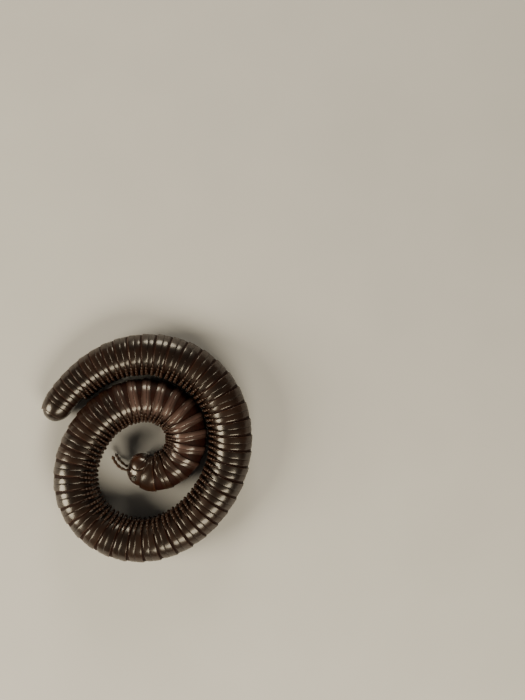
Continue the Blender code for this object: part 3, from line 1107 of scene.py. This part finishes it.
def lip_teeth():
    """Three small teeth in the notch of the lip."""
    teeth = bmesh.new()
    for side in (-1, 0, 1):
        place = (*TOOTH_PLACE, TOOTH_PITCH * side)
        add_cone(teeth, place, TOOTH_DIRECTION, TOOTH_LENGTH, TOOTH_RADII, TOOTH_SIDES)
    to_coil(teeth, 0)
    return teeth


def make_head(head_shell, claw):
    """The head and its teeth."""
    make_piece("head_capsule", head_capsule(), (head_shell,), "head_shell", "head")
    make_piece("lip_teeth", lip_teeth(), (claw,), "head_shell", "head")


def lens_places():
    """The places of an eye's lenses on its dome, in rows that are offset by half a lens."""
    rows = int(EYE_HALF_WIDTH / LENS_PITCH) + 1
    for row in range(-rows, rows + 1):
        down = row * LENS_PITCH * math.sqrt(3) / 2
        for column in range(-LENS_COLUMNS, LENS_COLUMNS + 1):
            over = (column + (row % 2) / 2) * LENS_PITCH
            spread = eye_spread(over, down)
            if spread <= EYE_FILLED:
                fall = (over**2 + down**2) / (2 * HEAD_SIZES.x)
                yield over, down, EYE_DOME * (1 - spread**2) - fall


def make_eyes(eye):
    """An oval patch of small round lenses on each side of the crown."""
    for side, flank in FLANKS:
        axes = eye_axes(flank)
        whole = bmesh.new()
        for place in lens_places():
            lens = bmesh.new()
            bmesh.ops.create_uvsphere(lens, radius=LENS_RADIUS, **LENS_SEGMENTS)
            bmesh.ops.translate(lens, vec=place, verts=lens.verts)
            move(lens, axes)
            add_shape(whole, lens)
        to_coil(whole, 0)
        make_piece(f"eye_lenses_{side}", whole, (eye,), "eye", f"eye_{side}")


def outwards_from(forward, angle):
    """A direction at right angles to a limb, at an angle round it."""
    return Matrix.Rotation(angle, 3, forward) @ forward.orthogonal().normalized()


def add_bristle(whole, root, direction, length):
    """Adds one thin pointed bristle of three sides."""
    middle = root + direction * (length * BRISTLE_MIDDLE)
    add_cone(whole, middle, direction, length, BRISTLE_RADII, 3)


def add_article_bristles(bristles, start, end, radius, rng):
    """Bristles round the outer half of one joint of a feeler, leaning towards its tip."""
    forward = (end - start).normalized()
    for number in range(JOINT_BRISTLES):
        angle = math.tau * (number + rng.random()) * BRISTLE_TURN
        outwards = outwards_from(forward, angle)
        at = start.lerp(end, rng.uniform(*BRISTLE_PLACES))
        lean = (outwards + forward * rng.uniform(*BRISTLE_LEANS)).normalized()
        root = at + outwards * radius * BRISTLE_ROOT
        add_bristle(bristles, root, lean, rng.uniform(*BRISTLE_LENGTHS))


def add_lip_bristles(bristles):
    """A row of bristles along the edge of the lip."""
    for number in range(LIP_BRISTLES):
        side = (number + 0.5) / LIP_BRISTLES * 2 - 1
        root, _, _ = sculpted(fanned(LIP_EDGE, side), [], [])
        add_bristle(bristles, root, fanned(LIP_BRISTLE, side), 0.5)


def feeler(flank, bristles, rng):
    """One feeler of overlapping club-shaped joints, with small sense cones on its tip."""
    whole = bmesh.new()
    direction = mirrored(ANTENNA_DIRECTION, flank)
    end = on_head(direction)
    start = end - direction * ANTENNA_SUNK
    for step, radius in zip(ANTENNA_STEPS, ANTENNA_RADII):
        end = end + mirrored(step, flank)
        add_shape(whole, limb_joint(start, end, radius, FEELER_PROFILE, ANTENNA_SIDES))
        add_article_bristles(bristles, start, end, radius, rng)
        forward = (end - start).normalized()
        start = end - forward * ANTENNA_OVERLAP
    tip = end + forward * ANTENNA_TIP_LENGTH
    add_shape(whole, limb_joint(end, tip, ANTENNA_TIP_RADIUS, FEELER_PROFILE, ANTENNA_SIDES))
    for number in range(CONES):
        aside = outwards_from(forward, math.tau * number / CONES) * CONE_ASIDE
        cone_end = tip + aside * CONE_LEAN + forward * CONE_LENGTH
        cone = limb_joint(tip + aside, cone_end, CONE_RADIUS, ARTICLE_PROFILE, CONE_SIDES)
        add_shape(whole, cone)
    to_coil(whole, 0)
    return whole


def make_antennae(limb, bristle_amber):
    """The two feelers, and the bristles on them and on the lip."""
    rng = random.Random(SEED + 1)
    bristles = bmesh.new()
    for side, flank in FLANKS:
        whole = feeler(flank, bristles, rng)
        make_piece(f"feeler_{side}", whole, (limb,), "limb", f"antenna_{side}")
    add_lip_bristles(bristles)
    to_coil(bristles, 0)
    make_piece("bristles", bristles, (bristle_amber,), "limb")


# ---- the tail

# Lengths are in mm, and the last ring's sizes in parts of the body's radius at its end. The
# finish of each piece is that of the part of a ring behind the suture.
TAIL_RADIUS_MM = radius_at(RING_COUNT) / MM
TAIL_SIDES = 120
TAIL_STEPS = 12
TAIL_START = 0.1
TAIL_LENGTH = 3.0
TAIL_SIZE = 0.95
TAIL_TAPER = 0.17
TAIL_SHAPE = 2.2
TAIL_FRONT = ((0.0, 0.0), (0.0, 0.93))
TAIL_RIM = ((3.16, 0.765), (3.12, 0.74), (2.6, 0.70), (2.6, 0.0))
# The ring's back is drawn out to a short point, which bends down over the valves.
POINT_LENGTH = 1.0
POINT_DROP = 0.30
POINT_WIDTH = 0.50
POINT_FROM = 0.6
SCALE_HALF_SIZES = (1.05, 0.5, 1.5)
SCALE_CENTRE = (2.9, 2.85, 0)
SCALE_SPAN = (1.85, 2.1)
SCALE_WIDTH = 1.1
SCALE_TAPER = 0.6
SCALE_RIDGE = (0.12, 0.35)
SCALE_BEND = 0.35
VALVE_HALF_SIZES = (2.5, 3.15, 3.1)
VALVE_CENTRE = (2.6, 0, 0)
VALVE_HALF_GAP = 0.06
VALVE_EDGE = 0.16
VALVE_RIM_AT = 0.12
VALVE_RIM = 0.14
VALVE_GROOVE_AT = 0.5
VALVE_GROOVE = 0.08


def preanal_ring():
    """The last ring, which tapers a little and is open behind for the valves."""
    points = list(TAIL_FRONT)
    for step in range(TAIL_STEPS + 1):
        part = step / TAIL_STEPS
        size = TAIL_SIZE - TAIL_TAPER * part**TAIL_SHAPE
        points.append((TAIL_START + part * TAIL_LENGTH, size))
    points += TAIL_RIM
    shape = turned([(place, size * TAIL_RADIUS_MM) for place, size in points], TAIL_SIDES)
    girth = girth_layer(shape)
    for vertex in shape.verts:
        x, y, z = vertex.co
        size = math.hypot(y, z)
        angle = math.atan2(z, y)
        place = RING_COUNT + 0.7 + 0.29 * x / 3.2
        vertex[girth] = (place, abs(angle) / math.pi, size / TAIL_RADIUS_MM)
        back = bell(math.pi - abs(angle), POINT_WIDTH)
        part = x / (TAIL_START + TAIL_LENGTH)
        vertex.co.x += POINT_LENGTH * back * part**2
        if size > POINT_FROM * TAIL_RADIUS_MM:
            vertex.co.y += POINT_DROP * back * part**3
    to_coil(shape, RING_COUNT)
    return shape


def subanal_scale():
    """The small ridged scale under the valves, which narrows and bends up towards its end."""
    shape = rounded_ball(SCALE_HALF_SIZES, SCALE_CENTRE, 5)
    girth = girth_layer(shape)
    for vertex in shape.verts:
        x, y, z = vertex.co
        part = fade(x, *SCALE_SPAN)
        vertex[girth] = (RING_COUNT + 0.75 + 0.2 * part, 0.5, 1.0)
        vertex.co.z = z * (SCALE_WIDTH - SCALE_TAPER * part)
        vertex.co.y = y + relief(SCALE_RIDGE, z) - SCALE_BEND * part**2
    to_coil(shape, RING_COUNT)
    return shape


def anal_valve(flank):
    """One of the two valves, with a rim and a groove along the slit between them."""
    shape = rounded_ball(VALVE_HALF_SIZES, VALVE_CENTRE, 6)
    girth = girth_layer(shape)
    cut_flat(shape, (0, 0, VALVE_HALF_GAP * flank), (0, 0, -flank))
    for vertex in shape.verts:
        away = abs(vertex.co.z)
        rim = bell(away - VALVE_RIM_AT, VALVE_EDGE)
        groove = bell(away - VALVE_GROOVE_AT, VALVE_EDGE)
        vertex[girth] = (RING_COUNT + 0.6 + 0.35 * rim, 0.5, 1.0)
        vertex.co.x += VALVE_RIM * rim - VALVE_GROOVE * groove
    to_coil(shape, RING_COUNT)
    return shape


def make_tail(shell):
    """The last ring, the scale under it, and the two valves that close it."""
    make_piece("preanal_ring", preanal_ring(), (shell,), "shell", "tail_ring")
    make_piece("subanal_scale", subanal_scale(), (shell,), "shell", "tail_ring")
    for side, flank in FLANKS:
        node = f"tail_valve_{side}"
        make_piece(f"anal_valve_{side}", anal_valve(flank), (shell,), "shell", node)


# ---- floor, light and camera

CAMERA_PLACE_MM = (32.4, 27.4)
CAMERA_DISTANCE_MM = 270.0
VIEW_HEIGHT_MM = 196.0
SENSOR_MM = 36.0
FLOOR_SIZE = 1.5
LIGHT_DISTANCE = 0.5
# Soft boxes: name, direction, width and height in metres, power and tint.
SOFT_BOXES = (
    ("box_left", (-0.86, -0.20, 0.47), 0.30, 0.30, 4.5, (1.0, 0.85, 0.60)),
    ("box_back", (0.08, 0.94, 0.30), 0.21, 0.21, 1.8, (1.0, 0.87, 0.65)),
    ("box_front", (0.30, -0.68, 0.67), 0.42, 0.20, 3.2, (1.0, 0.85, 0.60)),
)
ROOM_TINT = colour(1.0, 0.90, 0.74)
ROOM_STRENGTH = 0.09


def floor_finish():
    """A plain pale floor."""
    made = Finish("floor")
    base = made.mix(made.noise(40), colour(0.44, 0.455, 0.475), colour(0.49, 0.505, 0.525))
    return made.done(Base_Color=base, Roughness=0.8)


def make_floor():
    """A flat floor, which is only for the pictures."""
    shape = bmesh.new()
    bmesh.ops.create_grid(shape, x_segments=1, y_segments=1, size=FLOOR_SIZE)
    mesh = bpy.data.meshes.new("floor")
    shape.to_mesh(mesh)
    shape.free()
    mesh.materials.append(floor_finish())
    floor = bpy.data.objects.new("floor", mesh)
    bpy.context.scene.collection.objects.link(floor)


def add_light(name, direction, width, height, power, tint):
    """An oval soft box that faces the coil."""
    light = bpy.data.lights.new(name, "AREA")
    light.shape = "ELLIPSE"
    light.size = width
    light.size_y = height
    light.energy = power
    light.color = tint
    lamp = bpy.data.objects.new(name, light)
    towards = Vector(direction).normalized()
    lamp.location = towards * LIGHT_DISTANCE
    lamp.rotation_euler = towards.to_track_quat("Z", "Y").to_euler()
    bpy.context.scene.collection.objects.link(lamp)


def make_light():
    """Three warm soft boxes, and a faint light from all round."""
    for box in SOFT_BOXES:
        add_light(*box)
    world = bpy.data.worlds.new("soft_room")
    world.use_nodes = True
    background = world.node_tree.nodes["Background"]
    background.inputs["Color"].default_value = ROOM_TINT
    background.inputs["Strength"].default_value = ROOM_STRENGTH
    bpy.context.scene.world = world


def make_camera():
    """Looks straight down, with the coil low on the left of the picture."""
    data = bpy.data.cameras.new("camera")
    data.sensor_width = SENSOR_MM
    data.lens = SENSOR_MM * CAMERA_DISTANCE_MM / VIEW_HEIGHT_MM
    data.clip_start = 0.01
    camera = bpy.data.objects.new("camera", data)
    x, y = CAMERA_PLACE_MM
    camera.location = Vector((x, y, FULL_RADIUS_MM + CAMERA_DISTANCE_MM)) * MM
    bpy.context.scene.collection.objects.link(camera)
    bpy.context.scene.camera = camera


def make_millipede():
    """All the pieces of the animal."""
    shell = shell_finish()
    limb = limb_finish()
    head_shell = head_finish()
    claw = claw_finish()
    make_trunk(shell, collar_finish(), limb, claw)
    make_pores(pore_finish())
    make_collum(shell, membrane_finish())
    make_head(head_shell, claw)
    make_eyes(eye_finish())
    make_antennae(limb, bristle_finish())
    make_tail(shell)


make_millipede()
make_floor()
make_light()
make_camera()
